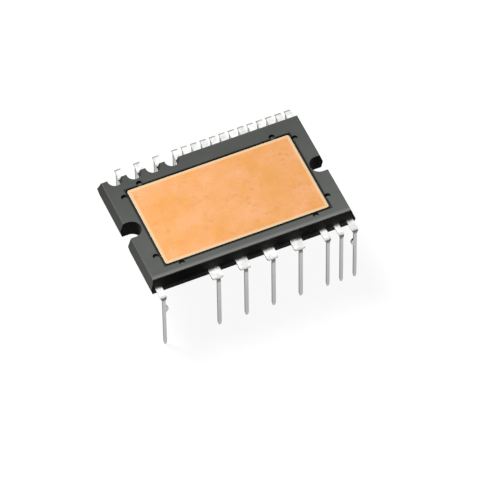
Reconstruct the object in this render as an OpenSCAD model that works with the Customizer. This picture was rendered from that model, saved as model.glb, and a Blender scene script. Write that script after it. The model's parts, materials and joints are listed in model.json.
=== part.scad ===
// Inverter power module in a transfer-moulded dual-in-line package.
// Length runs along X, the power row is at -Y, the control row at +Y.
// The heat-sink face looks up (+Z) and the lead tips stand on Z = 0.

/* [Body] */
// Length of the moulded body at its parting line
body_l = 38; // [37:0.5:42]
// Width of the moulded body at its parting line
body_w = 24; // [23.5:0.25:27]
// Thickness of the moulded body
body_t = 3.5; // [3.3:0.1:5]
// Depth of the parting line below the heat-sink face
part_d = 2; // [1.9:0.05:2.2]
// Draft of each side wall above the parting line
draft_top = 0.6; // [0.2:0.1:0.8]
// Draft of each side wall below the parting line
draft_bottom = 0.3; // [0.1:0.1:0.6]
// Radius of the edge round the heat-sink face
edge_r = 0.2; // [0.1:0.05:0.3]
// Height of the heat-sink face above the lead tips
stand_h = 14.7; // [12:0.1:18]

/* [Screw notches] */
// Distance between the centres of the two end notches
notch_pitch = 35; // [34.8:0.2:37]
// Radius of each end notch
notch_r = 1.7; // [1.2:0.1:1.8]

/* [Creepage notches] */
// Radius of each notch in the back edge, at the outer faces
groove_r = 1.3; // [1:0.05:1.35]
// Radius of each notch in the back edge, at the parting line
groove_waist_r = 1.15; // [0.9:0.05:1.2]
// Distance of the notch centres from the back edge
groove_inset = 0.9; // [0.6:0.1:1]

/* [Heat-sink sheet] */
// Length of the copper foil
sheet_l = 30.4; // [30:0.1:30.6]
// Width of the copper foil
sheet_w = 17.3; // [17:0.1:17.4]
// Offset of the foil's centre along the body
sheet_dx = 0.12; // [0:0.02:0.2]
// Offset of the foil's centre across the body
sheet_dy = -0.6; // [-0.7:0.05:-0.5]
// Thickness of the copper foil
foil_t = 0.3; // [0.2:0.05:0.35]
// Height of the foil above the moulded face
foil_proud = 0.03; // [0:0.01:0.08]
// Thickness of the insulating film under the foil
film_t = 0.2; // [0.15:0.05:0.25]
// Corner radius of the foil
sheet_r = 0.4; // [0.2:0.1:1]
// Chamfer round the top edge of the foil
foil_chamfer = 0.12; // [0.05:0.01:0.18]
// Width of the shallow gap round the foil
rim_w = 0.25; // [0.1:0.05:0.3]
// Depth of the shallow gap round the foil
rim_d = 0.25; // [0.1:0.05:0.3]

/* [Support pin marks] */
// Diameter of each mark that a mould pin leaves beside the foil
mark_d = 1.1; // [0.8:0.1:1.3]
// Depth of each mark
mark_depth = 0.45; // [0.2:0.05:0.5]
// Distance between the marks beside the two ends, along the body
end_mark_span_x = 32; // [31.8:0.1:32.4]
// Distance between the two marks beside one end
end_mark_span_y = 13.9; // [12:0.1:15]
// Distance between the two marks beside one long side
side_mark_span_x = 24.9; // [20:0.1:27]
// Distance from the foil's long edge to the centre of its marks
side_mark_gap = 0.7; // [0.6:0.05:0.8]

/* [Leads] */
// Thickness of the lead frame
lead_t = 0.4; // [0.3:0.05:0.45]
// Distance between the middles of the two rows of pins
row_span = 28.8; // [28.4:0.1:31]
// Inner radius of the bend in each lead
bend_r = 0.3; // [0.2:0.05:0.4]
// Length of the bevel at each lead tip
tip_l = 0.7; // [0.3:0.1:1]
// Share of the pin's width and thickness that the bevel leaves
tip_share = 0.6; // [0.4:0.05:0.9]
// Height of the stop nubs above the lead tips
stop_h = 9.85; // [8:0.05:10.5]
// Height of one stop nub
stop_len = 1.7; // [1:0.1:2]
// How far a stop nub stands out from its pin
stop_out = 0.5; // [0.3:0.05:0.6]

/* [Power row] */
// Grid of the power row
power_unit = 2.54; // [2.5:0.01:2.56]
// Width of the four wide tabs
wide_tab = 2.05; // [1.8:0.05:2.3]
// Width of the pins below the wide tabs
wide_pin = 0.65; // [0.5:0.05:0.8]
// Corner radius of the wide tabs
wide_tab_r = 0.35; // [0.1:0.05:0.35]
// Distance from the outer side of the pins to the end of a wide tab
wide_tab_back = 0.3; // [0.2:0.05:0.5]
// Width of the narrow tabs
narrow_tab = 1.2; // [1:0.05:1.3]
// Width of the narrow tab in the middle of the emitter group
middle_tab = 1; // [0.8:0.05:1.3]
// Width of the pins below the narrow tabs
narrow_pin = 0.55; // [0.45:0.05:0.65]
// Depth of the full-width shoulder below the top of a narrow tab
shoulder_d = 0.2; // [0.1:0.05:0.4]
// Height over which a shoulder tapers to the pin
shoulder_taper = 0.6; // [0.4:0.1:1]

/* [Control row] */
// Grid of the control row
control_unit = 1.778; // [1.75:0.001:1.79]
// Width of a control tab at the body
control_tab = 1.36; // [1.1:0.02:1.4]
// Width of a control tab at its bend
control_neck = 1.1; // [0.9:0.05:1.2]
// Width of the three high-side supply tabs at the body
supply_tab = 1.6; // [1.2:0.1:1.9]
// Width of the control pins
control_pin = 0.5; // [0.4:0.05:0.6]

/* [Power frame] */
// Width of one die column
pad_w = 4; // [3.8:0.05:4]
// Gap between neighbouring pieces of the power frame
frame_gap = 0.4; // [0.3:0.05:0.42]
// Margin between the frame and the foil's outline
pad_margin = 0.5; // [0.4:0.05:0.6]
// Width of the strips that carry phase and emitter current
strip_w = 0.6; // [0.5:0.05:0.6]

/* [Control frame] */
// Width of the inner fingers of the control leads
finger_w = 0.9; // [0.7:0.05:0.95]
// Width of the driver pad across the body
bar_w = 2; // [1.9:0.1:2]
// Distance from the back edge of the body to the driver pad
bar_inset = 3.7; // [3.6:0.05:3.75]
// Side of the pads that carry the bootstrap diodes
boot_pad = 1.5; // [1.3:0.1:1.6]

/* [Chips] */
// Side of one transistor chip
igbt_side = 3; // [2.4:0.1:3.2]
// Side of one freewheeling diode chip
diode_side = 2.4; // [2:0.1:2.6]
// Thickness of the chips
chip_t = 0.15; // [0.1:0.01:0.2]
// Thickness of the solder or adhesive under a chip
solder_t = 0.05; // [0.03:0.01:0.08]
// Length of the high-side driver chip
high_driver_l = 6; // [5:0.1:6.4]
// Length of the low-side driver chip
low_driver_l = 5.2; // [4.5:0.1:6]
// Width of both driver chips
driver_w = 1.6; // [1.4:0.1:1.7]
// Side of one bootstrap diode chip
boot_side = 1.1; // [0.9:0.1:1.2]

/* [Bond wires] */
// Diameter of the aluminium power wires
power_wire_d = 0.3; // [0.2:0.02:0.34]
// Diameter of the aluminium gate wires
gate_wire_d = 0.12; // [0.1:0.01:0.15]
// Diameter of the gold control wires
gold_wire_d = 0.06; // [0.05:0.01:0.08]
// Share of a wire's span that its loop hangs below the chips
loop_share = 0.14; // [0.1:0.01:0.16]

/* [Hidden] */
$fn = 48;
eps = 0.02;
// Flats that stand for the rounded edge of the heat-sink face
edge_steps = 5;
// Heights of the faces that the pieces share
part_z = stand_h - part_d;
floor_z = stand_h - body_t;
foil_top = stand_h + foil_proud;
foil_z = foil_top - foil_t;
film_z = foil_z - film_t;
pad_z = film_z - lead_t;
lead_z = part_z;
power_chip_z = pad_z - solder_t - chip_t;
driver_chip_z = lead_z - solder_t - chip_t;
// Plan positions
front_y = -body_w / 2;
back_y = body_w / 2;
row_y = row_span / 2;
pad_front = sheet_dy - sheet_w / 2 + pad_margin;
// Strips that run behind the die pads: two phases, then three emitters
strip_count = 5;
strip_pitch = strip_w + frame_gap;
bar_back = back_y - bar_inset;
bar_front = bar_back - bar_w;
pad_back = bar_front - frame_gap - strip_count * strip_pitch;
column_pitch = pad_w + frame_gap;
column_x0 = sheet_dx - sheet_l / 2 + pad_margin + pad_w / 2;
igbt_y = pad_back - igbt_side / 2 - frame_gap;
diode_y = pad_front + diode_side / 2 + 2 * frame_gap;
ramp_run = pad_z - lead_z;
ramp_y = pad_front - ramp_run;
last_column = 5;
run_x0 = column_x(last_column) + pad_w / 2 + frame_gap + strip_w / 2;
driver_y = (bar_front + bar_back) / 2;
finger_tip = bar_back + frame_gap;
groove_y = back_y - groove_inset;
boot_y = finger_tip + boot_pad / 2;
phases = ["u", "v", "w"];
// Power leads: name, place on the grid, tab width, pin width
power_leads = [
    ["terminal_spare", -7, narrow_tab, narrow_pin],
    ["terminal_p", -3, wide_tab, wide_pin],
    ["terminal_u", -1, wide_tab, wide_pin],
    ["terminal_v", 1, wide_tab, wide_pin],
    ["terminal_w", 3, wide_tab, wide_pin],
    ["terminal_nu", 5, narrow_tab, narrow_pin],
    ["terminal_nv", 6, middle_tab, narrow_pin],
    ["terminal_nw", 7, narrow_tab, narrow_pin]
];
// Control leads: name and place on the grid
supply_leads = [["control_lead_02", -8], ["control_lead_03", -6], ["control_lead_04", -4]];
signal_leads = [
    ["control_lead_05", -2], ["control_lead_06", -1], ["control_lead_07", 0],
    ["control_lead_08", 1], ["control_lead_10", 3], ["control_lead_11", 4],
    ["control_lead_12", 5], ["control_lead_13", 6], ["control_lead_14", 7],
    ["control_lead_15", 8], ["control_lead_17", 10]
];
ground_places = [2, 9];
groove_places = [-9, -7, -5, -3];
last_place = 10;
// Shift of the high-side driver from the middle of its column
driver_shift = 0.6;
// Share of the high-side driver's length by which its supply wires sit left of its middle
supply_wire_shift = 0.15;
// Straight run of an emitter strip inside the body
emitter_straight = 1;
// Side of a wire's foot in wire diameters
foot_share = 1.2;
high_driver_x = column_x(1) + driver_shift;
low_driver_x = column_x(4) + pad_w / 2;

function column_x(k) = column_x0 + k * column_pitch;
// High-side chips sit on the P pad in the order w, v, u, low-side chips in the order u, v, w
function high_x(p) = column_x(2 - p);
function low_x(p) = column_x(3 + p);
function strip_y(k) = pad_back + frame_gap + strip_w / 2 + k * strip_pitch;
function run_x(k) = run_x0 + k * strip_pitch;
function power_x(i) = power_leads[i][1] * power_unit;
// Place of wire i of n, spread evenly along a driver of length l
function wire_place(i, n, l) = (i - (n - 1) / 2) * l / (n + 1);

// ---- Moulded body ----

// One side wall: half width h at the parting line, drafted both ways, top edge rounded
module wall_profile(h) {
    slope = atan(draft_top / part_d);
    round_x = h - draft_top - edge_r * tan(45 - slope / 2);
    round_z = stand_h - edge_r;
    edge = [for (i = [0:edge_steps]) let (a = slope + (90 - slope) * i / edge_steps)
        [round_x + edge_r * cos(a), round_z + edge_r * sin(a)]];
    half = concat([[h - draft_bottom, floor_z], [h, part_z]], edge);
    polygon(concat(half, [for (i = [len(half) - 1:-1:0]) [-half[i][0], half[i][1]]]));
}

module drafted_block() {
    intersection() {
        rotate([90, 0, 0]) translate([0, 0, -body_w]) linear_extrude(2 * body_w) wall_profile(body_l / 2);
        rotate([90, 0, 90]) translate([0, 0, -body_l]) linear_extrude(2 * body_l) wall_profile(body_w / 2);
    }
}

// Open-ended notch for a fixing screw, cut from the end s = -1 or 1
module screw_notch(s) {
    translate([s * notch_pitch / 2, 0, floor_z - eps]) cylinder(h = body_t + 2 * eps, r = notch_r);
    translate([s * (notch_pitch / 2 + body_l / 2), 0, stand_h - body_t / 2])
        cube([body_l, 2 * notch_r, body_t + 2 * eps], center = true);
}

// Notch that lengthens the surface path between two supply leads, drafted to a waist
module creepage_notch() {
    lower_h = part_z - floor_z;
    translate([0, groove_y, floor_z]) cylinder(h = lower_h, r1 = groove_r, r2 = groove_waist_r);
    translate([0, groove_y, part_z]) cylinder(h = part_d, r1 = groove_waist_r, r2 = groove_r);
    translate([0, groove_y + 2 * groove_inset, 0]) rotate([90, 0, 0]) linear_extrude(2 * groove_inset)
        polygon([
            [-groove_r, floor_z], [groove_r, floor_z], [groove_waist_r, part_z],
            [groove_r, stand_h], [-groove_r, stand_h], [-groove_waist_r, part_z]
        ]);
}

module rounded_plate(l, w, r) {
    union() {
        square([l - 2 * r, w], center = true);
        square([l, w - 2 * r], center = true);
        for (sx = [-1, 1], sy = [-1, 1]) translate([sx * (l / 2 - r), sy * (w / 2 - r)]) circle(r);
    }
}

module support_marks() {
    translate([0, 0, stand_h - mark_depth]) {
        for (sx = [-1, 1], sy = [-1, 1])
            translate([sx * end_mark_span_x / 2, sy * end_mark_span_y / 2, 0])
                cylinder(h = body_t, d = mark_d);
        for (sx = [-1, 1], sy = [-1, 1])
            translate([sx * side_mark_span_x / 2, sheet_dy + sy * (sheet_w / 2 + side_mark_gap), 0])
                cylinder(h = body_t, d = mark_d);
    }
}

module mould_body() {
    color("#4a4a4a")
    difference() {
        drafted_block();
        for (s = [-1, 1]) screw_notch(s);
        for (g = groove_places) translate([g * control_unit, 0, 0]) creepage_notch();
        support_marks();
        translate([sheet_dx, sheet_dy, stand_h - rim_d])
            linear_extrude(body_t) rounded_plate(sheet_l + 2 * rim_w, sheet_w + 2 * rim_w, sheet_r + rim_w);
        copper_foil();
        insulating_film();
        lead_frame();
        chips();
        bonds();
    }
}

// ---- Heat-sink sheet ----

module copper_foil() {
    color("#f0ad70")
    translate([sheet_dx, sheet_dy, foil_z]) intersection() {
        linear_extrude(foil_t) rounded_plate(sheet_l, sheet_w, sheet_r);
        rotate([90, 0, 0]) translate([0, 0, -sheet_w]) linear_extrude(2 * sheet_w)
            foil_profile(sheet_l / 2);
        rotate([90, 0, 90]) translate([0, 0, -sheet_l]) linear_extrude(2 * sheet_l)
            foil_profile(sheet_w / 2);
    }
}

module foil_profile(h) {
    polygon([
        [-h, 0], [h, 0], [h, foil_t - foil_chamfer], [h - foil_chamfer, foil_t],
        [-h + foil_chamfer, foil_t], [-h, foil_t - foil_chamfer]
    ]);
}

module insulating_film() {
    color("#c8c4b4")
    translate([sheet_dx, sheet_dy, film_z]) linear_extrude(film_t) rounded_plate(sheet_l, sheet_w, sheet_r);
}

// ---- Leads ----

// Bent strip seen from its side: out along Y from start, down past the bend, bevelled tip
module bent_strip(start) {
    outer_r = bend_r + lead_t;
    bend_y = row_y + lead_t / 2 - outer_r;
    bend_z = lead_z + lead_t - outer_r;
    tip_side = lead_t * (1 - tip_share) / 2;
    translate([start, lead_z]) square([bend_y - start + eps, lead_t]);
    intersection() {
        difference() {
            translate([bend_y, bend_z]) circle(outer_r);
            translate([bend_y, bend_z]) circle(bend_r);
        }
        translate([bend_y, bend_z]) square(outer_r + eps);
    }
    polygon([
        [row_y - lead_t / 2, bend_z + eps], [row_y + lead_t / 2, bend_z + eps],
        [row_y + lead_t / 2, tip_l], [row_y + lead_t / 2 - tip_side, 0],
        [row_y - lead_t / 2 + tip_side, 0], [row_y - lead_t / 2, tip_l]
    ]);
}

// Outer lead for a row at +Y, cut from the bent strip by its front and plan outlines
module outer_lead(start) {
    intersection() {
        rotate([90, 0, 90]) translate([0, 0, -wide_tab]) linear_extrude(2 * wide_tab) bent_strip(start);
        children();
    }
}

// Front outline: full shoulder, taper, pin with a bevelled tip
module front_outline(tab_w, pin_w, drop, taper) {
    top = lead_z + lead_t;
    tip_w = pin_w * tip_share;
    rotate([90, 0, 0]) translate([0, 0, -2 * row_y]) linear_extrude(4 * row_y)
        polygon([
            [-tab_w / 2, top], [-tab_w / 2, top - drop], [-pin_w / 2, top - drop - taper],
            [-pin_w / 2, tip_l], [-tip_w / 2, 0], [tip_w / 2, 0], [pin_w / 2, tip_l],
            [pin_w / 2, top - drop - taper], [tab_w / 2, top - drop], [tab_w / 2, top]
        ]);
}

module narrow_lead(tab_w, pin_w, start) {
    intersection() {
        outer_lead(start) front_outline(tab_w, pin_w, shoulder_d, shoulder_taper);
        children();
    }
}

// Plan outline of a tab that keeps its width
module straight_tab(w) {
    translate([-w / 2, 0, 0]) cube([w, row_y + lead_t, lead_z + 2 * lead_t]);
}

// Plan outline of a tab that narrows from the body to its bend
module tapered_tab(root_w, neck_w, in_w) {
    bend_y = row_y - lead_t / 2 - bend_r;
    linear_extrude(lead_z + 2 * lead_t) polygon([
        [-in_w / 2, 0], [in_w / 2, 0], [in_w / 2, back_y], [root_w / 2, back_y],
        [neck_w / 2, bend_y], [neck_w / 2, row_y + lead_t], [-neck_w / 2, row_y + lead_t],
        [-neck_w / 2, bend_y], [-root_w / 2, back_y], [-in_w / 2, back_y]
    ]);
}

// Wide tab with round corners that stops just behind the outer side of its pin
module wide_lead(tab_w, pin_w, start) {
    tab_end = row_y + lead_t / 2 - wide_tab_back;
    outer_lead(start) union() {
        translate([0, 0, lead_z]) linear_extrude(2 * lead_t) union() {
            translate([-tab_w / 2, 0]) square([tab_w, tab_end - wide_tab_r]);
            translate([-tab_w / 2 + wide_tab_r, 0]) square([tab_w - 2 * wide_tab_r, tab_end]);
            for (s = [-1, 1])
                translate([s * (tab_w / 2 - wide_tab_r), tab_end - wide_tab_r]) circle(wide_tab_r);
        }
        front_outline(pin_w, pin_w, shoulder_d, shoulder_taper);
    }
}

// Half-round nub on the side s of a pin that stops the module at board level
module stop_nub(pin_w, s) {
    nub_r = (stop_len * stop_len / 4 + stop_out * stop_out) / (2 * stop_out);
    intersection() {
        translate([s * (pin_w / 2 + stop_out - nub_r), row_y + lead_t / 2, stop_h])
            rotate([90, 0, 0]) cylinder(h = lead_t, r = nub_r);
        translate([s * pin_w / 2, row_y, stop_h]) cube([2 * stop_out, 2 * lead_t, stop_len], center = true);
    }
}

// Flat piece of the lead frame with its underside at z
module frame_plate(points, z) {
    translate([0, 0, z]) linear_extrude(lead_t) polygon(points);
}

// Ramp of width w that lifts a power lead from lead level to its die pad
module ramp(x, w) {
    translate([x - w / 2, 0, 0]) rotate([90, 0, 90]) linear_extrude(w)
        polygon([
            [ramp_y - eps, lead_z], [ramp_y, lead_z], [pad_front, pad_z], [pad_front + eps, pad_z],
            [pad_front + eps, pad_z + lead_t], [pad_front, pad_z + lead_t],
            [ramp_y, lead_z + lead_t], [ramp_y - eps, lead_z + lead_t]
        ]);
}

// Inner part of a power lead: from the body's edge at x to the ramp at pad_x
module inner_jog(x, pad_x) {
    w = wide_tab / 2;
    bend = (front_y + ramp_y) / 2;
    frame_plate([
        [x - w, front_y - eps], [x + w, front_y - eps], [x + w, bend], [pad_x + w, ramp_y],
        [pad_x - w, ramp_y], [x - w, bend]
    ], lead_z);
    ramp(pad_x, wide_tab);
}

module pad_plate(x0, x1, y0, y1) {
    frame_plate([[x0, y0], [x1, y0], [x1, y1], [x0, y1]], pad_z);
}

// Power row leads look towards -Y
module front_lead(i) {
    x = power_x(i);
    translate([x, 0, 0]) rotate([0, 0, 180])
        if (power_leads[i][2] == wide_tab) wide_lead(wide_tab, power_leads[i][3], -front_y - frame_gap);
        else narrow_lead(power_leads[i][2], power_leads[i][3], -front_y - frame_gap)
            straight_tab(power_leads[i][2]);
}

module terminal_spare() {
    x = power_x(0);
    color("#e8e8ea") union() {
        front_lead(0);
        translate([x, 0, 0]) rotate([0, 0, 180]) stop_nub(narrow_pin, -1);
        frame_plate([
            [x - narrow_tab / 2, front_y - eps], [x + narrow_tab / 2, front_y - eps],
            [x + narrow_tab / 2, ramp_y], [x - narrow_tab / 2, ramp_y]
        ], lead_z);
    }
}

// The positive terminal and the pad of the three high-side columns
module terminal_p() {
    color("#e8e8ea") union() {
        front_lead(1);
        inner_jog(power_x(1), power_x(1));
        pad_plate(column_x(0) - pad_w / 2, column_x(2) + pad_w / 2, pad_front, pad_back);
    }
}

// A phase terminal, its pad and the strip back to its high-side column
module phase_terminal(p) {
    x0 = low_x(p) - pad_w / 2;
    pad_x = x0 + wide_tab / 2 + p * frame_gap / 2;
    color("#e8e8ea") union() {
        front_lead(2 + p);
        inner_jog(power_x(2 + p), pad_x);
        pad_plate(x0, low_x(p) + pad_w / 2, pad_front, pad_back);
        if (p > 0) {
            pad_plate(x0, x0 + strip_w, pad_back - eps, strip_y(p - 1) + strip_w / 2);
            pad_plate(
                high_x(p) - strip_w, x0 + strip_w, strip_y(p - 1) - strip_w / 2, strip_y(p - 1) + strip_w / 2
            );
        }
    }
}

// An emitter terminal: round the last column and back along its strip
module emitter_terminal(p) {
    i = 5 + p;
    x = power_x(i);
    w = power_leads[i][2] / 2;
    half = strip_w / 2;
    turn = front_y + emitter_straight;
    y = strip_y(2 + p);
    color("#e8e8ea") union() {
        front_lead(i);
        if (p == 2) translate([x, 0, 0]) rotate([0, 0, 180]) stop_nub(narrow_pin, 1);
        frame_plate([
            [x - w, front_y - eps], [x + w, front_y - eps], [x + w, turn],
            [run_x(p) + half, turn + x + w - run_x(p) - half], [run_x(p) + half, y + half],
            [low_x(p) - strip_w, y + half], [low_x(p) - strip_w, y - half],
            [run_x(p) - half, y - half], [run_x(p) - half, turn + x - w - run_x(p) + half],
            [x - w, turn]
        ], lead_z);
    }
}

module control_outer(place, root_w, in_w) {
    translate([place * control_unit, 0, 0])
        narrow_lead(root_w, control_pin, back_y - frame_gap) tapered_tab(root_w, control_neck, in_w);
}

module finger(place, w, tip) {
    x = place * control_unit;
    root = back_y - eps;
    frame_plate([[x - w / 2, tip], [x + w / 2, tip], [x + w / 2, root], [x - w / 2, root]], lead_z);
}

// Signal lead with a plain inner finger
module signal_lead(place) {
    color("#e8e8ea") union() {
        control_outer(place, control_tab, finger_w);
        finger(place, finger_w, finger_tip);
        if (place == last_place) translate([place * control_unit, 0, 0]) stop_nub(control_pin, -1);
    }
}

// High-side supply lead with the pad of its bootstrap diode
module supply_lead(place) {
    x = place * control_unit;
    h = boot_pad / 2;
    color("#e8e8ea") union() {
        control_outer(place, supply_tab, finger_w);
        finger(place, finger_w, boot_y);
        frame_plate(
            [[x - h, boot_y - h], [x + h, boot_y - h], [x + h, boot_y + h], [x - h, boot_y + h]], lead_z
        );
        if (place == supply_leads[0][1]) translate([x, 0, 0]) stop_nub(control_pin, 1);
    }
}

// The two ground leads and the driver pad are one piece of the frame
module ground_frame() {
    left = high_driver_x - high_driver_l / 2 - frame_gap;
    arm_x = ground_places[1] * control_unit;
    color("#e8e8ea") union() {
        for (g = ground_places) control_outer(g, control_tab, finger_w);
        for (g = ground_places) finger(g, finger_w, bar_back - eps);
        frame_plate([
            [left, bar_front], [arm_x + finger_w / 2, bar_front], [arm_x + finger_w / 2, bar_back],
            [left, bar_back]
        ], lead_z);
    }
}

module lead_frame() {
    terminal_spare();
    terminal_p();
    for (p = [0:2]) phase_terminal(p);
    for (p = [0:2]) emitter_terminal(p);
    for (l = supply_leads) supply_lead(l[1]);
    for (l = signal_leads) signal_lead(l[1]);
    ground_frame();
}

// ---- Chips, which hang from the undersides of their pads ----

module chip(x, y, z, l, w) {
    color("#5a5f6e") translate([x - l / 2, y - w / 2, z]) cube([l, w, chip_t]);
}

module igbt(x) { chip(x, igbt_y, power_chip_z, igbt_side, igbt_side); }

module diode(x) { chip(x, diode_y, power_chip_z, diode_side, diode_side); }

module bootstrap_diode(p) {
    chip(supply_leads[p][1] * control_unit, boot_y, driver_chip_z, boot_side, boot_side);
}

module high_side_driver() { chip(high_driver_x, driver_y, driver_chip_z, high_driver_l, driver_w); }

module low_side_driver() { chip(low_driver_x, driver_y, driver_chip_z, low_driver_l, driver_w); }

module layer(x, y, z, l, w) { translate([x - l / 2, y - w / 2, z]) cube([l, w, solder_t]); }

module die_solder() {
    color("#b8b8b0") {
        for (k = [0:last_column]) layer(column_x(k), igbt_y, pad_z - solder_t, igbt_side, igbt_side);
        for (k = [0:last_column]) layer(column_x(k), diode_y, pad_z - solder_t, diode_side, diode_side);
        for (l = supply_leads) layer(l[1] * control_unit, boot_y, lead_z - solder_t, boot_side, boot_side);
    }
}

module driver_adhesive() {
    color("#d8d8d8") {
        layer(high_driver_x, driver_y, lead_z - solder_t, high_driver_l, driver_w);
        layer(low_driver_x, driver_y, lead_z - solder_t, low_driver_l, driver_w);
    }
}

module chips() {
    for (k = [0:last_column]) igbt(column_x(k));
    for (k = [0:last_column]) diode(column_x(k));
    for (p = [0:2]) bootstrap_diode(p);
    high_side_driver();
    low_side_driver();
    die_solder();
    driver_adhesive();
}

// ---- Bond wires, looped below the faces they join ----

// Wire of diameter d from a to b, both points on a downward face, with a foot at each end
module bond_wire(a, b, d) {
    foot = foot_share * d;
    flat = norm([b[0] - a[0], b[1] - a[1]]);
    rise = b[2] - a[2];
    chord = norm([flat, rise]);
    sag = max(loop_share * chord, 2 * d);
    half_angle = 2 * atan(2 * sag / chord);
    radius = chord / (2 * sin(half_angle));
    heading = atan2(b[1] - a[1], b[0] - a[0]);
    translate([a[0], a[1], a[2] - foot / 2]) rotate([0, 0, heading]) {
        rotate([0, -atan2(rise, flat), 0]) rotate([-90, 0, 0]) translate([chord / 2, sag - radius, 0])
            rotate([0, 0, 90 - half_angle]) rotate_extrude(angle = 2 * half_angle)
                translate([radius, 0]) circle(d = d);
        cube([2 * foot, foot, foot], center = true);
        translate([flat, 0, rise]) cube([2 * foot, foot, foot], center = true);
    }
}

// Two parallel wires, spread apart along X at both ends
module wire_pair(a, b, spread) {
    for (s = [-1, 1]) bond_wire(a + [s * spread / 2, 0, 0], b + [s * spread / 2, 0, 0], power_wire_d);
}

module power_wires() {
    spread = 3 * power_wire_d;
    landing_y = (igbt_y - igbt_side / 2 + diode_y + diode_side / 2) / 2;
    color("#d9d9dc") {
        for (k = [0:last_column])
            wire_pair(
                [column_x(k), diode_y, power_chip_z],
                [column_x(k), igbt_y - igbt_side / 4, power_chip_z], spread
            );
        for (p = [1, 2])
            wire_pair([high_x(p), igbt_y, power_chip_z], [high_x(p), strip_y(p - 1), pad_z], spread);
        for (s = [-1, 1])
            bond_wire(
                [high_x(0) + igbt_side / 3, igbt_y + s * spread / 2, power_chip_z],
                [low_x(0) - pad_w / 2 + frame_gap + power_wire_d, landing_y + s * spread / 2, pad_z],
                power_wire_d
            );
        for (p = [0:2])
            wire_pair([low_x(p), igbt_y, power_chip_z], [low_x(p), strip_y(2 + p), lead_z], spread);
    }
}

// Gate wire from the chip corner nearest to its driver
module gate_wire(chip_x, driver_x) {
    gate = igbt_side / 2 - 2 * gate_wire_d;
    side = driver_x > chip_x ? 1 : -1;
    bond_wire(
        [chip_x + side * gate, igbt_y + gate, power_chip_z],
        [driver_x, driver_y - driver_w / 2 + 2 * gate_wire_d, driver_chip_z], gate_wire_d
    );
}

module gate_wires() {
    color("#d9d9dc") {
        for (p = [0:2]) gate_wire(high_x(p), high_driver_x + (1 - p) * high_driver_l / 3);
        for (p = [0:2]) gate_wire(low_x(p), low_driver_x + (p - 1) * low_driver_l / 3);
    }
}

module control_wires() {
    reach = driver_w / 2 - 3 * gold_wire_d;
    tip_y = finger_tip + frame_gap;
    color("#e6c35a") {
        for (p = [0:2])
            bond_wire(
                [high_driver_x + wire_place(p, 3, high_driver_l) - supply_wire_shift * high_driver_l,
                    driver_y + reach, driver_chip_z],
                [supply_leads[p][1] * control_unit, boot_y, driver_chip_z], gold_wire_d
            );
        for (i = [0:3])
            bond_wire(
                [high_driver_x + high_driver_l / 2 - (4 - i) * frame_gap, driver_y + reach, driver_chip_z],
                [signal_leads[i][1] * control_unit, tip_y, lead_z], gold_wire_d
            );
        for (i = [4:9])
            bond_wire(
                [low_driver_x + wire_place(i - 4, 6, low_driver_l), driver_y + reach, driver_chip_z],
                [signal_leads[i][1] * control_unit, tip_y, lead_z], gold_wire_d
            );
    }
}

module bonds() {
    power_wires();
    gate_wires();
    control_wires();
}

mould_body();
copper_foil();
insulating_film();
terminal_spare();
terminal_p();
for (p = [0:2]) phase_terminal(p);
for (p = [0:2]) emitter_terminal(p);
for (l = supply_leads) supply_lead(l[1]);
for (l = signal_leads) signal_lead(l[1]);
ground_frame();
for (p = [0:2]) igbt(high_x(p));
for (p = [0:2]) igbt(low_x(p));
for (p = [0:2]) diode(high_x(p));
for (p = [0:2]) diode(low_x(p));
high_side_driver();
low_side_driver();
for (p = [0:2]) bootstrap_diode(p);
die_solder();
driver_adhesive();
power_wires();
gate_wires();
control_wires();
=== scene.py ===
# %% [markdown]
# # Inverter power module
# The module is a flat block of black moulding compound with a copper foil in its upper face and a row
# of bent, tin-plated leads along each long side. The solids come from the CAD frame, already in
# metres and in place. This lesson gives them their finishes, replaces the flat foil by a rolled sheet
# with a rounded edge and a pale rim of painted highlight, and sets the light, the floor and the camera.

import json

import bpy
import numpy as np
from mathutils import Matrix, Vector


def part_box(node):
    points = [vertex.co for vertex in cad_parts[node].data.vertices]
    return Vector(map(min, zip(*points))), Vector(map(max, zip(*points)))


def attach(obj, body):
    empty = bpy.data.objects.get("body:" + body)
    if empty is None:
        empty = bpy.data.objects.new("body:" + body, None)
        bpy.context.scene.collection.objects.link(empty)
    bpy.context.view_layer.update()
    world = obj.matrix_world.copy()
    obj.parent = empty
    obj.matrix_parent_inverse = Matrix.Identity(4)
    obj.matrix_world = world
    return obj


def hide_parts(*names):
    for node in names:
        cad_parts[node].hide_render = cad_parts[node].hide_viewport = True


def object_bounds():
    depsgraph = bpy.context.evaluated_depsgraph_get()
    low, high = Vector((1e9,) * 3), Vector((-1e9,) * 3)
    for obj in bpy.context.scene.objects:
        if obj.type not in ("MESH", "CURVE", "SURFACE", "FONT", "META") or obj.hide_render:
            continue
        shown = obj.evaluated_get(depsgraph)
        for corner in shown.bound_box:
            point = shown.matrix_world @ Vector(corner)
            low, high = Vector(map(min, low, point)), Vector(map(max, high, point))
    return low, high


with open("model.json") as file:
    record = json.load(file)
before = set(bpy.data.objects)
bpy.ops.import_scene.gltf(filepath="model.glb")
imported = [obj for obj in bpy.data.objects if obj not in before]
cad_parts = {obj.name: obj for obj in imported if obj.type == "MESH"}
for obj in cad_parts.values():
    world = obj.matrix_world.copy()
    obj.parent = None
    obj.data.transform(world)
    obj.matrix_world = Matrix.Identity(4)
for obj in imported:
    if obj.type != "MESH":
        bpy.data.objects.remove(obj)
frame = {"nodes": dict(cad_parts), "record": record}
cad_box = [list(corner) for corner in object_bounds()]
print("nodes:", len(frame["nodes"]), "CAD box:", cad_box)

# %% [markdown]
# Sizes of patterns are easier to think about in millimetres, but Blender works in metres. Colours are
# easier to write as hex values, but shaders want linear light. Two small helpers do both once.

# %% Units and colours
MM = 0.001


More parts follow.
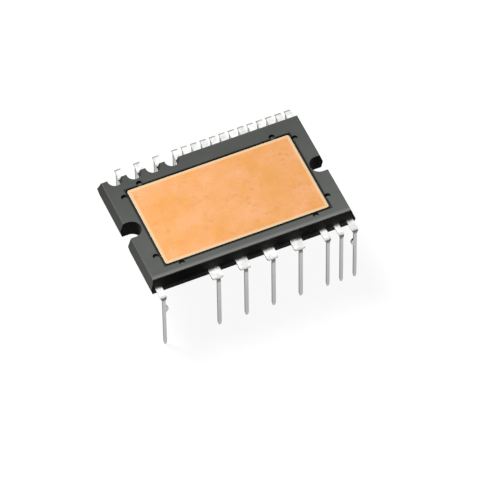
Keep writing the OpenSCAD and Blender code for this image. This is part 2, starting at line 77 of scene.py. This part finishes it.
def linear(hex_colour):
    """sRGB hex to linear RGBA: below 0.04045 divide by 12.92, above it ((c + 0.055) / 1.055) ^ 2.4."""
    c = np.array([int(hex_colour[i : i + 2], 16) for i in (1, 3, 5)]) / 255
    low, high = c / 12.92, ((c + 0.055) / 1.055) ** 2.4
    return (*np.where(c <= 0.04045, low, high).tolist(), 1.0)


def per_mm(size):
    """Texture scale of a pattern with features size millimetres wide: one over the size in metres."""
    return 1 / (size * MM)


print("mid grey in linear light:", round(linear("#808080")[0], 3))

# %% [markdown]
# A material is a graph of nodes. One function adds any node, sets its options and fills or links its
# inputs, so each finish below reads as a list of steps. A node given as an input stands for the first
# output that it has in use, and one output of several is picked by its name.

# %% One function that adds a node
A, B = 6, 7  # the two colour inputs of a Mix node, which share their names with other kinds
NOISE_LOW, NOISE_HIGH = 0.3, 0.7  # most values of a noise texture lie between these


def add(tree, kind, inputs=(), **settings):
    """Adds a node. Each input, by name or number, is linked if it is given a node or socket, else set."""
    node = tree.nodes.new("ShaderNode" + kind)
    for key, value in settings.items():
        setattr(node, key, value)
    for key, value in dict(inputs).items():
        if isinstance(value, bpy.types.Node):
            value = next(output for output in value.outputs if output.enabled)
        if isinstance(value, bpy.types.NodeSocket):
            tree.links.new(value, node.inputs[key])
        else:
            node.inputs[key].default_value = value
    return node


def start_finish(name):
    """A new material: its empty graph, its Object coordinates and their X, Y and Z."""
    material = bpy.data.materials.new(name)
    material.use_nodes = True
    tree = material.node_tree
    tree.nodes.clear()
    place = add(tree, "TexCoord").outputs["Object"]
    return material, tree, place, add(tree, "SeparateXYZ", {"Vector": place}).outputs


def end_finish(material, shader):
    """Links the shader to the material's surface and says how many nodes the finish took."""
    add(material.node_tree, "OutputMaterial", {"Surface": shader})
    print(material.name, "has", len(material.node_tree.nodes), "nodes")
    return material


print("metres to the millimetre:", MM, "texture scale of a 1 mm pattern:", per_mm(1.0))

# %% [markdown]
# **Moulding compound** is epoxy resin filled with fused silica and a little carbon black. It leaves a
# spark-eroded steel mould with a fine satin grain. The real grain is too fine to show, so it is drawn
# 0.2 mm across. It isn't metal and its gloss is low, so most of its look is the grain and faint clouds.
# It is toned a shade darker towards the back. The front edge of the upper face is paler with a painted
# highlight, and the channel round the foil is dark with painted shade.

# %% Moulding compound: masks that follow the shape
UPPER_DRAFT = 0.6 * MM  # how far the upper face stands inside the parting line
FRONT_EDGE_HIGHLIGHT, LEFT_EDGE_HIGHLIGHT = 0.66, 0.2  # share of painted highlight at the two edges
FRONT_FADE = (0.25 * MM, 0.9 * MM)  # inside the front edge: painted highlight starts to fade, is gone
LEFT_FADE = 0.25 * MM  # inside the left edge: painted highlight is gone
EDGE_HIGHLIGHT_DEPTH = (0.25 * MM, 0.1 * MM)  # below the upper face: painted highlight starts, is full
CHANNEL_SHADE = 0.8  # share of painted shade in the channel next to the foil
CHANNEL_SHADE_FADE = (0.36 * MM, 0.5 * MM)  # from the foil: painted shade starts to fade, is gone


def painted_edge_highlight(tree, xyz, box):
    """Share of painted highlight from 0 to 1: two thirds along the front edge, fading inside it, a fifth
    at the left edge, fading faster, and none below the upper face."""
    low_corner, high_corner = box
    from_front = add(tree, "Math", {0: xyz["Y"], 1: low_corner[1] + UPPER_DRAFT}, operation="SUBTRACT")
    front = add(tree, "MapRange", {
        "Value": from_front, "From Min": FRONT_FADE[0], "From Max": FRONT_FADE[1],
        "To Min": FRONT_EDGE_HIGHLIGHT, "To Max": 0.0,
    }, interpolation_type="SMOOTHSTEP")
    from_left = add(tree, "Math", {0: xyz["X"], 1: low_corner[0] + UPPER_DRAFT}, operation="SUBTRACT")
    left = add(tree, "MapRange", {
        "Value": from_left, "From Min": 0.0, "From Max": LEFT_FADE, "To Min": LEFT_EDGE_HIGHLIGHT, "To Max": 0.0,
    })
    edges = add(tree, "Math", {0: front, 1: left}, operation="MAXIMUM")
    upper = add(tree, "MapRange", {
        "Value": xyz["Z"],
        "From Min": high_corner[2] - EDGE_HIGHLIGHT_DEPTH[0], "From Max": high_corner[2] - EDGE_HIGHLIGHT_DEPTH[1],
    })
    return add(tree, "Math", {0: edges, 1: upper}, operation="MULTIPLY")


def painted_channel_shade(tree, xyz, box, foil_box):
    """Share of painted shade in the channel: four fifths next to the foil, fading away from it, and none
    on the lower half. The distance from the foil is the larger of |x - middle| - half width and |y -
    middle| - half depth."""
    past = []
    for axis, low, high in zip("XY", *foil_box):
        shifted = add(tree, "Math", {0: xyz[axis], 1: (low + high) / 2}, operation="SUBTRACT")
        size = add(tree, "Math", {0: shifted}, operation="ABSOLUTE")
        past.append(add(tree, "Math", {0: size, 1: (high - low) / 2}, operation="SUBTRACT"))
    away = add(tree, "Math", {0: past[0], 1: past[1]}, operation="MAXIMUM")
    painted_shade_and_bleed = add(tree, "MapRange", {
        "Value": away, "From Min": CHANNEL_SHADE_FADE[0], "From Max": CHANNEL_SHADE_FADE[1],
        "To Min": CHANNEL_SHADE, "To Max": 0.0,
    })
    middle_height = (box[0][2] + box[1][2]) / 2
    upper = add(tree, "Math", {0: xyz["Z"], 1: middle_height}, operation="GREATER_THAN")
    return add(tree, "Math", {0: painted_shade_and_bleed, 1: upper}, operation="MULTIPLY")


print("upper face stands", UPPER_DRAFT / MM, "mm inside the parting line")

# %% Moulding compound: the finish
TONE_FRONT, TONE_BACK = -9.0 * MM, 10.0 * MM  # from the middle plane: the darker tone starts, is full


def moulding_compound(box, foil_box):
    """Layers of colour: clouds, a darker back, glints of grain, painted highlight on the edges, painted
    shade round the foil.
    """
    material, tree, place, xyz = start_finish("silica_filled_epoxy")
    clouds = add(tree, "TexNoise", {"Vector": place, "Scale": per_mm(5.0), "Detail": 4.0})
    grain = add(tree, "TexNoise", {"Vector": place, "Scale": per_mm(0.22), "Detail": 2.0})
    cloudy = add(tree, "MapRange", {"Value": clouds, "From Min": NOISE_LOW, "From Max": NOISE_HIGH})
    base = add(tree, "Mix", {0: cloudy, A: linear("#676966"), B: linear("#727471")}, data_type="RGBA")
    backward = add(tree, "MapRange", {
        "Value": xyz["Y"], "From Min": TONE_FRONT, "From Max": TONE_BACK, "To Min": 0.0, "To Max": 0.47,
    })
    toned = add(tree, "Mix", {0: backward, A: base, B: linear("#3f413e")}, data_type="RGBA")
    glints = add(tree, "MapRange", {"Value": grain, "From Min": 0.35, "From Max": 0.75, "To Max": 0.3})
    satin = add(tree, "Mix", {0: glints, A: toned, B: linear("#72746f")}, data_type="RGBA")
    # painted highlight along the front and left edges of the upper face
    edge_highlight_share = painted_edge_highlight(tree, xyz, box)
    edge_highlighted = add(tree, "Mix", {0: edge_highlight_share, A: satin, B: linear("#9a9b97")}, data_type="RGBA")
    # painted shade in the channel round the foil
    painted_shade_and_bleed = painted_channel_shade(tree, xyz, box, foil_box)
    colour = add(tree, "Mix", {0: painted_shade_and_bleed, A: edge_highlighted, B: linear("#232422")}, data_type="RGBA")
    return end_finish(material, add(tree, "BsdfPrincipled", {
        "Base Color": colour,
        "Roughness": add(tree, "MapRange", {
            "Value": grain, "From Min": NOISE_LOW, "From Max": NOISE_HIGH, "To Min": 0.5, "To Max": 0.64,
        }),
        "IOR": 1.52,
        "Specular IOR Level": 0.03,
        "Normal": add(tree, "Bump", {"Height": grain, "Distance": 0.012 * MM, "Strength": 0.6}),
    }))


epoxy = moulding_compound(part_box("mould_body"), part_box("copper_foil"))

# %% [markdown]
# **Tin plating** on a stamped copper frame is matte and pale, with soft mottling from the plating bath.
# Its grain is too fine to show and is drawn 0.15 mm across. The root of each lead is darker, with a
# painted reflection of the dark moulding and resin that bleeds a few tenths of a millimetre over the
# metal. The sides that the stamping tool sheared are darker than the rolled faces: duller from the
# shearing, and with painted shade. The outside of each bend carries painted shade.

# %% Tin plating: masks that follow the shape
ROOT_LOW, ROOT_HIGH = 12.0 * MM, 12.55 * MM  # from the middle plane: painted reflection and bleed start to fade, are gone
RAGGED = 0.25 * MM  # how far noise moves the edge of the bleed, either way
BEND_LOW, BEND_HIGH = 12.1 * MM, 13.0 * MM  # heights between which a lead bends
BEND_OUT = (14.2 * MM, 14.45 * MM)  # from the middle plane: the outer side of a bend starts, is full
WAVY = 0.12 * MM  # how far noise moves the two heights, either way


def root_reflection_and_bleed(tree, place, distance):
    """Share of painted reflection of the dark moulding and resin bleed: 0.55 at the root, fading
    outwards to an edge made ragged by noise.
    """
    blots = add(tree, "TexNoise", {"Vector": place, "Scale": per_mm(0.4), "Detail": 3.0})
    ragged = add(tree, "MapRange", {
        "Value": blots, "From Min": NOISE_LOW, "From Max": NOISE_HIGH, "To Min": -RAGGED, "To Max": RAGGED,
    })
    edge = add(tree, "Math", {0: distance, 1: ragged}, operation="ADD")
    return add(tree, "MapRange", {
        "Value": edge, "From Min": ROOT_LOW, "From Max": ROOT_HIGH, "To Min": 0.55, "To Max": 0.0,
    })


def painted_bend_shade(tree, place, xyz, distance):
    """Share of painted shade: three quarters on the outer side of a bend, between its two heights, which
    noise shifts a little."""
    ripple = add(tree, "TexNoise", {"Vector": place, "Scale": per_mm(0.6), "Detail": 2.0})
    wavy = add(tree, "MapRange", {
        "Value": ripple, "From Min": NOISE_LOW, "From Max": NOISE_HIGH, "To Min": -WAVY, "To Max": WAVY,
    })
    level = add(tree, "Math", {0: xyz["Z"], 1: wavy}, operation="ADD")
    above = add(tree, "MapRange", {"Value": level, "From Min": BEND_LOW, "From Max": BEND_LOW + 0.3 * MM})
    below = add(tree, "MapRange", {
        "Value": level, "From Min": BEND_HIGH - 0.1 * MM, "From Max": BEND_HIGH,
        "To Min": 1.0, "To Max": 0.0,
    })
    outer = add(tree, "MapRange", {
        "Value": distance, "From Min": BEND_OUT[0], "From Max": BEND_OUT[1], "To Max": 0.75,
    })
    band = add(tree, "Math", {0: above, 1: below}, operation="MULTIPLY")
    return add(tree, "Math", {0: band, 1: outer}, operation="MULTIPLY")


print("bend between", BEND_LOW / MM, "and", BEND_HIGH / MM, "mm")

# %% Tin plating: the finish


def tin_plating():
    """Layers of colour: mottled plating, painted reflection and bleed at the root, sheared sides with
    painted shade, painted shade on the bends.
    """
    material, tree, place, xyz = start_finish("matte_tin_plating")
    mottle = add(tree, "TexNoise", {"Vector": place, "Scale": per_mm(0.9), "Detail": 4.0})
    grain = add(tree, "TexNoise", {"Vector": place, "Scale": per_mm(0.15), "Detail": 2.0})
    patchy = add(tree, "MapRange", {"Value": mottle, "From Min": NOISE_LOW, "From Max": NOISE_HIGH})
    metal = add(tree, "Mix", {0: patchy, A: linear("#ebebe9"), B: linear("#f4f4f2")}, data_type="RGBA")
    distance = add(tree, "Math", {0: xyz["Y"]}, operation="ABSOLUTE")
    # painted reflection of the dark moulding, and resin bleed, at the root of each lead
    painted_shade_and_bleed = root_reflection_and_bleed(tree, place, distance)
    rooted = add(tree, "Mix", {0: painted_shade_and_bleed, A: metal, B: linear("#6a6a68")}, data_type="RGBA")
    # sheared sides: duller metal, and painted shade
    facing = add(tree, "SeparateXYZ", {"Vector": add(tree, "TexCoord").outputs["Normal"]}).outputs
    sideways = add(tree, "Math", {0: facing["X"]}, operation="ABSOLUTE")
    side = add(tree, "MapRange", {"Value": sideways, "From Min": 0.6, "From Max": 0.9, "To Max": 0.75})
    sheared_and_shaded = add(tree, "Mix", {0: side, A: rooted, B: linear("#6a6a68")}, data_type="RGBA")
    # painted shade on the outer side of each bend
    bend_shade_share = painted_bend_shade(tree, place, xyz, distance)
    colour = add(tree, "Mix", {0: bend_shade_share, A: sheared_and_shaded, B: linear("#727270")}, data_type="RGBA")
    return end_finish(material, add(tree, "BsdfPrincipled", {
        "Base Color": colour,
        "Metallic": 1.0,
        "Roughness": add(tree, "MapRange", {
            "Value": mottle, "From Min": NOISE_LOW, "From Max": NOISE_HIGH, "To Min": 0.2, "To Max": 0.32,
        }),
        "Normal": add(tree, "Bump", {"Height": grain, "Distance": 0.006 * MM, "Strength": 0.3}),
    }))


tinned_lead = tin_plating()

# %% [markdown]
# ** Rolled copper** shows soft stains, as a drying bath leaves them, fine lines along the rolling
# direction, and a pale rim that is a painted highlight along the deburred edge. Real rolling lines are
# too fine to show, so they are drawn 0.18 mm wide. The rim follows the outline of the sheet, so the
# mesh carries its distance to the outline as an attribute that the material reads.

# %% Rolled copper
RIM_INNER, RIM_OUTER = 0.62, 0.32  # millimetres from the outline: the painted rim highlight starts, is full
RIM_ROUGHER = 0.2  # how much rougher the rim is than the face


def rolled_copper():
    """Four layers of colour: broad stains, fine dots, darker specks in drifts, and the pale rim, a
    painted highlight.
    """
    material, tree, place, _ = start_finish("rolled_copper")
    stains = add(tree, "TexNoise", {"Vector": place, "Scale": per_mm(4.5), "Detail": 5.0, "Roughness": 0.6})
    specks = add(tree, "TexNoise", {"Vector": place, "Scale": per_mm(0.8), "Detail": 4.0, "Roughness": 0.6})
    fine = add(tree, "TexNoise", {"Vector": place, "Scale": per_mm(0.35), "Detail": 3.0, "Roughness": 0.6})
    along = add(tree, "Mapping", {"Vector": place, "Scale": (0.05, 1.0, 1.0)})
    lines = add(tree, "TexNoise", {"Vector": along, "Scale": per_mm(0.18), "Detail": 2.0})
    stained = add(tree, "MapRange", {"Value": stains, "From Min": 0.35, "From Max": 0.65})
    clean = add(tree, "Mix", {0: stained, A: linear("#cc904f"), B: linear("#ce986c")}, data_type="RGBA")
    dots = add(tree, "MapRange", {"Value": fine, "From Min": 0.35, "From Max": 0.7, "To Max": 0.45})
    dotted = add(tree, "Mix", {0: dots, A: clean, B: linear("#c68959")}, data_type="RGBA")
    spots = add(tree, "MapRange", {"Value": specks, "From Min": 0.54, "From Max": 0.7, "To Max": 0.5})
    drifts = add(tree, "TexNoise", {"Vector": place, "Scale": per_mm(7.0), "Detail": 2.0})
    where = add(tree, "MapRange", {"Value": drifts, "From Min": 0.42, "From Max": 0.6, "To Min": 0.15})
    dark = add(tree, "Math", {0: spots, 1: where}, operation="MULTIPLY")
    copper = add(tree, "Mix", {0: dark, A: dotted, B: linear("#b37c4c")}, data_type="RGBA")
    # pale rim: painted highlight along the deburred edge
    rim = add(tree, "Attribute", attribute_name="rim_mm").outputs["Fac"]
    painted_rim_highlight = add(tree, "MapRange", {
        "Value": rim, "From Min": RIM_OUTER, "From Max": RIM_INNER, "To Min": 1.0, "To Max": 0.0,
    })
    colour = add(tree, "Mix", {0: painted_rim_highlight, A: copper, B: linear("#bba587")}, data_type="RGBA")
    satin = add(tree, "MapRange", {
        "Value": stains, "From Min": NOISE_LOW, "From Max": NOISE_HIGH, "To Min": 0.37, "To Max": 0.4,
    })
    softer = add(tree, "Math", {0: painted_rim_highlight, 1: RIM_ROUGHER, 2: satin}, operation="MULTIPLY_ADD")
    return end_finish(material, add(tree, "BsdfPrincipled", {
        "Base Color": colour,
        "Metallic": 1.0,
        "Roughness": softer,
        "Normal": add(tree, "Bump", {"Height": lines, "Distance": 0.004 * MM, "Strength": 0.4}),
    }))


copper = rolled_copper()

# %% [markdown]
# **Inner finishes.** The pieces inside the moulding are hidden, but each is a real piece, so each gets
# the finish of its kind. They differ in colour, metal or not, roughness and grain size, so one
# function makes them from a short table of typical values.

# %% Inner finishes
ROUGHNESS_SPREAD = 0.12  # how much rougher a finish is where it is pale


def inner_finish(name, dark, pale, metallic, roughness, size):
    """Clouds, size millimetres wide, between two colours, and a little rougher where they are pale."""
    material, tree, place, _ = start_finish(name)
    cloud = add(tree, "TexNoise", {"Vector": place, "Scale": per_mm(size), "Detail": 3.0})
    share = add(tree, "MapRange", {"Value": cloud, "From Min": NOISE_LOW, "From Max": NOISE_HIGH})
    colour = add(tree, "Mix", {0: share, A: linear(dark), B: linear(pale)}, data_type="RGBA")
    return end_finish(material, add(tree, "BsdfPrincipled", {
        "Base Color": colour,
        "Metallic": metallic,
        "Roughness": add(tree, "MapRange", {
            "Value": cloud, "From Min": NOISE_LOW, "From Max": NOISE_HIGH,
            "To Min": roughness, "To Max": roughness + ROUGHNESS_SPREAD,
        }),
        "Normal": add(tree, "Bump", {"Height": cloud, "Distance": 0.003 * MM, "Strength": 0.4}),
    }))


finishes = {
    "epoxy": epoxy,
    "tinned_lead": tinned_lead,
    "copper": copper,
    "film": inner_finish("filled_resin_film", "#aaa596", "#bdb8a8", 0.0, 0.55, 0.3),
    "silicon": inner_finish("polished_silicon", "#53565f", "#666a75", 0.0, 0.12, 0.6),
    "solder": inner_finish("dull_solder", "#a8a8a4", "#c0c0bc", 1.0, 0.45, 0.2),
    "adhesive": inner_finish("silver_filled_adhesive", "#b4b4b4", "#cacaca", 0.6, 0.5, 0.1),
    "aluminium_wire": inner_finish("drawn_aluminium", "#cfcfd2", "#e2e2e5", 1.0, 0.25, 0.1),
    "gold_wire": inner_finish("drawn_gold", "#e0b04e", "#efc56c", 1.0, 0.2, 0.05),
}

# %% [markdown]
# The record says which slot each node takes its finish from. Only the material slots of the CAD nodes
# change: their meshes and places stay as they are.

# %% Dress the CAD nodes
slots = {part["node"]: part["material_slot"] for part in frame["record"]["subparts"]}
for name, node in frame["nodes"].items():
    if not node.data.materials:
        node.data.materials.append(finishes[slots[name]])
    for material_slot in node.material_slots:
        material_slot.material = finishes[slots[name]]
print("dressed:", len(slots), "nodes")

# %% [markdown]
# **The foil.** The CAD foil has round corners, a straight chamfer along its upper edge and a face that
# is perfectly flat. A sheet that is blanked and deburred has a rounded edge and a very slightly uneven
# face. The new sheet keeps the corners and is a surface of two parameters. One runs round a rounded
# rectangle, the other runs up the side, over the rounded edge and in to a spine along the middle. There
# the two halves of the ring meet point for point, and merging them closes the face.

# %% Outline of the foil
low, high = (np.array(corner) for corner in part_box("copper_foil"))
FOIL_CORNER = 0.4 * MM  # radius of each corner, seen from above
FOIL_EDGE = 0.06 * MM  # radius of the deburred edge
SIDE_STEPS = (60, 34)  # steps along each long and each short side
CORNER_POINTS = 9  # points on each corner


def rounded_outline(half, radius):
    """Points and outward normals of a rounded rectangle: each quarter is its corner centre plus radius
    times (cos t, sin t), with the straight sides sampled evenly between the quarters."""
    signs = np.array([(1, 1), (-1, 1), (-1, -1), (1, -1)])
    points, normals = [], []
    for quarter, sign in enumerate(signs):
        t = np.pi / 2 * (quarter + np.linspace(0, 1, CORNER_POINTS))
        direction = np.stack([np.cos(t), np.sin(t)], 1)
        arc = (half - radius) * sign + radius * direction
        next_start = (half - radius) * signs[(quarter + 1) % 4] + radius * direction[-1]
        share = np.linspace(0, 1, SIDE_STEPS[quarter % 2] + 1)[1:-1, None]
        points += [arc, arc[-1] + share * (next_start - arc[-1])]
        normals += [direction, np.repeat(direction[-1:], len(share), 0)]
    return np.concatenate(points), np.concatenate(normals)


half = (high - low)[:2] / 2
outline, outward = rounded_outline(half, FOIL_CORNER)
print("outline:", len(outline), "points, foil", ((high - low) / MM).round(2).tolist(), "mm")

# %% Surface of the foil
EDGE_ROWS, FACE_ROWS = 7, 44  # rows over the rounded edge, and from its last row to the spine
FACE_CROWDING = 1.3  # above 1, the rows of the face crowd towards the edge
UNEVENNESS = 0.002 * MM  # height of the larger sine of the uneven face


def foil_rows():
    """Row i is the outline moved inward by inset[i] over the rounded edge, then drawn in to the spine by
    a growing share. Height is the face less the quarter round r - sqrt(r^2 - (r - inset)^2), less a
    shallow unevenness of a few sines that fades at the edge. Also gives each point's distance inside."""
    inset = FOIL_EDGE * (1 - np.cos(np.linspace(0, np.pi / 2, EDGE_ROWS)))
    edge = outline - outward * inset[:, None, None]
    spine = np.clip(edge[-1], -(half[0] - half[1]), half[0] - half[1]) * (1, 0)
    share = np.linspace(0, 1, FACE_ROWS)[1:, None, None] ** FACE_CROWDING
    flat = np.concatenate([edge, edge[-1] + (spine - edge[-1]) * share])
    x, y = flat[..., 0] / MM, flat[..., 1] / MM
    wave = np.sin(0.7 * x + 0.4) * np.sin(0.9 * y + 1.1) + 0.5 * np.sin(1.9 * x - 1.3 * y)
    inside = (half - np.abs(flat)).min(-1)
    z = high[2] - UNEVENNESS * (1.5 + wave) * np.clip(inside / MM, 0, 1)
    z[: len(inset)] -= (FOIL_EDGE - np.sqrt(FOIL_EDGE**2 - (FOIL_EDGE - inset) ** 2))[:, None]
    middle = (high + low)[:2] / 2
    top = np.concatenate([flat + middle, z[..., None]], -1)
    bottom = np.column_stack([outline + middle, np.full(len(outline), low[2])])
    return np.concatenate([bottom[None], top]), np.concatenate([0 * inside[:1], inside / MM])


def ring_faces(rows, columns):
    """Quads between neighbouring rows, closed round the columns."""
    i, j = np.meshgrid(np.arange(rows - 1), np.arange(columns), indexing="ij")
    k = (j + 1) % columns
    quad = np.stack([i * columns + j, i * columns + k, (i + 1) * columns + k, (i + 1) * columns + j], -1)
    return quad.reshape(-1, 4)


points, inside_mm = foil_rows()
lowest = points[..., 2].min() / MM
print("rows:", points.shape[0], "of", points.shape[1], "points, lowest", round(lowest, 3), "mm")

# %% [markdown]
# Along the spine each point of the last row lies on its partner from the other side, and at both ends
# many fall together. np.unique finds the equal places, so the faces use one point for each, and faces
# that shrank to an edge or a point are left out.

# %% Close and build the foil
SAME_PLACE = 1e-4 * MM  # places are rounded to this before they are compared
count = points.shape[1]
places = points.reshape(-1, 3)
_, first, same = np.unique((places / SAME_PLACE).round(), axis=0, return_index=True, return_inverse=True)
quads = same.reshape(-1)[ring_faces(points.shape[0], count)]
corners = [list(dict.fromkeys(quad)) for quad in quads.tolist()]
faces = [face for face in corners if len(face) > 2] + [same.reshape(-1)[:count][::-1].tolist()]
foil_mesh = bpy.data.meshes.new("heat_sink_foil")
foil_mesh.from_pydata(places[first].tolist(), [], faces)
rim_values = inside_mm.reshape(-1)[first]
foil_mesh.attributes.new("rim_mm", "FLOAT", "POINT").data.foreach_set("value", rim_values)
foil_mesh.polygons.foreach_set("use_smooth", [True] * (len(faces) - 1) + [False])
foil_mesh.materials.append(finishes["copper"])
foil = bpy.data.objects.new("heat_sink_foil", foil_mesh)
bpy.context.scene.collection.objects.link(foil)
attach(foil, "root")
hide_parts("copper_foil")
print("foil:", len(foil_mesh.vertices), "points,", len(faces), "faces")

# %% [markdown]
# **Light.** One large soft lamp above, behind and a little to the left, gives a bright upper face, a
# dimmer left end and a dark front. The world and the floor look white to the camera. Metal sees a
# room that is white overhead and dim towards the horizon, which draws the bends of the leads. Both add
# little light of their own. That is what Light Path is for.

# %% Floor
REACH = 1.5  # metres from the middle to each edge of the floor
FLOOR_SEEN, FLOOR_MIRRORED = 0.93, 0.52  # glow of the floor towards the camera and towards metal
FLOOR_GREY, FLOOR_BOUNCE = "#656565", "#272727"  # in the lamp's light, and for light it passes on


def pale_floor():
    """A grey floor that glows by a different share for the camera and for metal."""
    material, tree, _, _ = start_finish("pale_floor")
    path = add(tree, "LightPath").outputs
    seen = add(tree, "Math", {0: path["Is Camera Ray"], 1: FLOOR_SEEN}, operation="MULTIPLY")
    glow = add(tree, "Math", {
        0: path["Is Glossy Ray"], 1: FLOOR_MIRRORED, 2: seen,
    }, operation="MULTIPLY_ADD")
    emission = add(tree, "Emission", {"Color": linear("#ffffff"), "Strength": glow})
    shade = add(tree, "Mix", {
        0: path["Is Diffuse Ray"], A: linear(FLOOR_GREY), B: linear(FLOOR_BOUNCE),
    }, data_type="RGBA")
    diffuse = add(tree, "BsdfDiffuse", {"Color": shade})
    return end_finish(material, add(tree, "AddShader", {0: emission, 1: diffuse}))


floor_mesh = bpy.data.meshes.new("floor")
floor_corners = REACH * np.array([(-1, -1, 0), (1, -1, 0), (1, 1, 0), (-1, 1, 0)])
floor_mesh.from_pydata(floor_corners.tolist(), [], [(0, 1, 2, 3)])
floor_mesh.materials.append(pale_floor())
floor = bpy.data.objects.new("floor", floor_mesh)
bpy.context.scene.collection.objects.link(floor)
print("floor:", 2 * REACH, "m square")

# %% World
DIM_BELOW, BRIGHT_ABOVE = 0.3, 0.72  # height of a ray's direction, from 0 at the horizon to 1
DIM, BRIGHT = 0.25, 0.85  # strength of the room that metal sees, at those heights
FILL = 0.012  # strength of the light that the world adds itself
world = bpy.data.worlds.new("pale_world")
world.use_nodes = True
bpy.context.scene.world = world
sky = world.node_tree
sky.nodes.clear()
path = add(sky, "LightPath").outputs
height = add(sky, "SeparateXYZ", {"Vector": add(sky, "TexCoord").outputs["Generated"]}).outputs["Z"]
overhead = add(sky, "MapRange", {
    "Value": height, "From Min": DIM_BELOW, "From Max": BRIGHT_ABOVE, "To Min": DIM, "To Max": BRIGHT,
})
to_metal = add(sky, "Math", {0: overhead, 1: path["Is Glossy Ray"]}, operation="MULTIPLY")
to_camera = add(sky, "Math", {
    0: path["Is Camera Ray"], 1: path["Is Transmission Ray"],
}, operation="MAXIMUM")
clear = add(sky, "Math", {0: to_metal, 1: to_camera}, operation="MAXIMUM")
strength = add(sky, "Math", {0: clear, 1: FILL}, operation="MAXIMUM")
background = add(sky, "Background", {"Color": linear("#ffffff"), "Strength": strength})
add(sky, "OutputWorld", {"Surface": background})
print("world:", len(sky.nodes), "nodes")

# %% Lamp
KEY_DIRECTION = (-0.25, 0.5, 0.83)  # from the module: a little left, behind and above
KEY_DISTANCE, KEY_SIZE, KEY_WATTS = 2.4, 1.0, 60.0  # metres, metres and watts
middle = Vector((0, 0, (cad_box[0][2] + cad_box[1][2]) / 2))


def soft_lamp(name, direction, distance, size, watts):
    """A square area lamp at distance along direction, turned to face the module."""
    lamp = bpy.data.lights.new(name, "AREA")
    lamp.size, lamp.energy = size, watts
    lamp_object = bpy.data.objects.new(name, lamp)
    away = Vector(direction).normalized()
    lamp_object.location = middle + away * distance
    lamp_object.rotation_euler = away.to_track_quat("Z", "Y").to_euler()
    bpy.context.scene.collection.objects.link(lamp_object)
    return lamp_object


key = soft_lamp("key", KEY_DIRECTION, KEY_DISTANCE, KEY_SIZE, KEY_WATTS)
print("key lamp at", tuple(round(v, 3) for v in key.location))

# %% [markdown]
# **Camera.** A long lens from the front left, looking down by about 53 degrees. Its axes are set from
# the direction it looks in and its upward direction, because it leans by less than a degree.

# %% Camera
SENSOR, LENS = 36.0, 356.5  # millimetres
NEAREST, FARTHEST = 0.05, 10.0  # metres that the camera can see between
CAMERA_PLACE = (-0.2009, -0.4815, 0.6840)  # metres
CAMERA_FORWARD, CAMERA_UP = (0.2377, 0.5576, -0.7953), (0.3241, 0.7264, 0.6061)

camera_data = bpy.data.cameras.new("camera")
camera_data.sensor_width, camera_data.lens = SENSOR, LENS
camera_data.clip_start, camera_data.clip_end = NEAREST, FARTHEST
camera = bpy.data.objects.new("camera", camera_data)
forward = Vector(CAMERA_FORWARD).normalized()
right = forward.cross(Vector(CAMERA_UP)).normalized()
upward = right.cross(forward)
turn = Matrix((right, upward, -forward)).transposed().to_4x4()
camera.matrix_world = Matrix.Translation(CAMERA_PLACE) @ turn
bpy.context.scene.collection.objects.link(camera)
bpy.context.scene.camera = camera
bpy.context.scene.view_settings.view_transform = "Standard"
print("camera:", LENS, "mm lens")
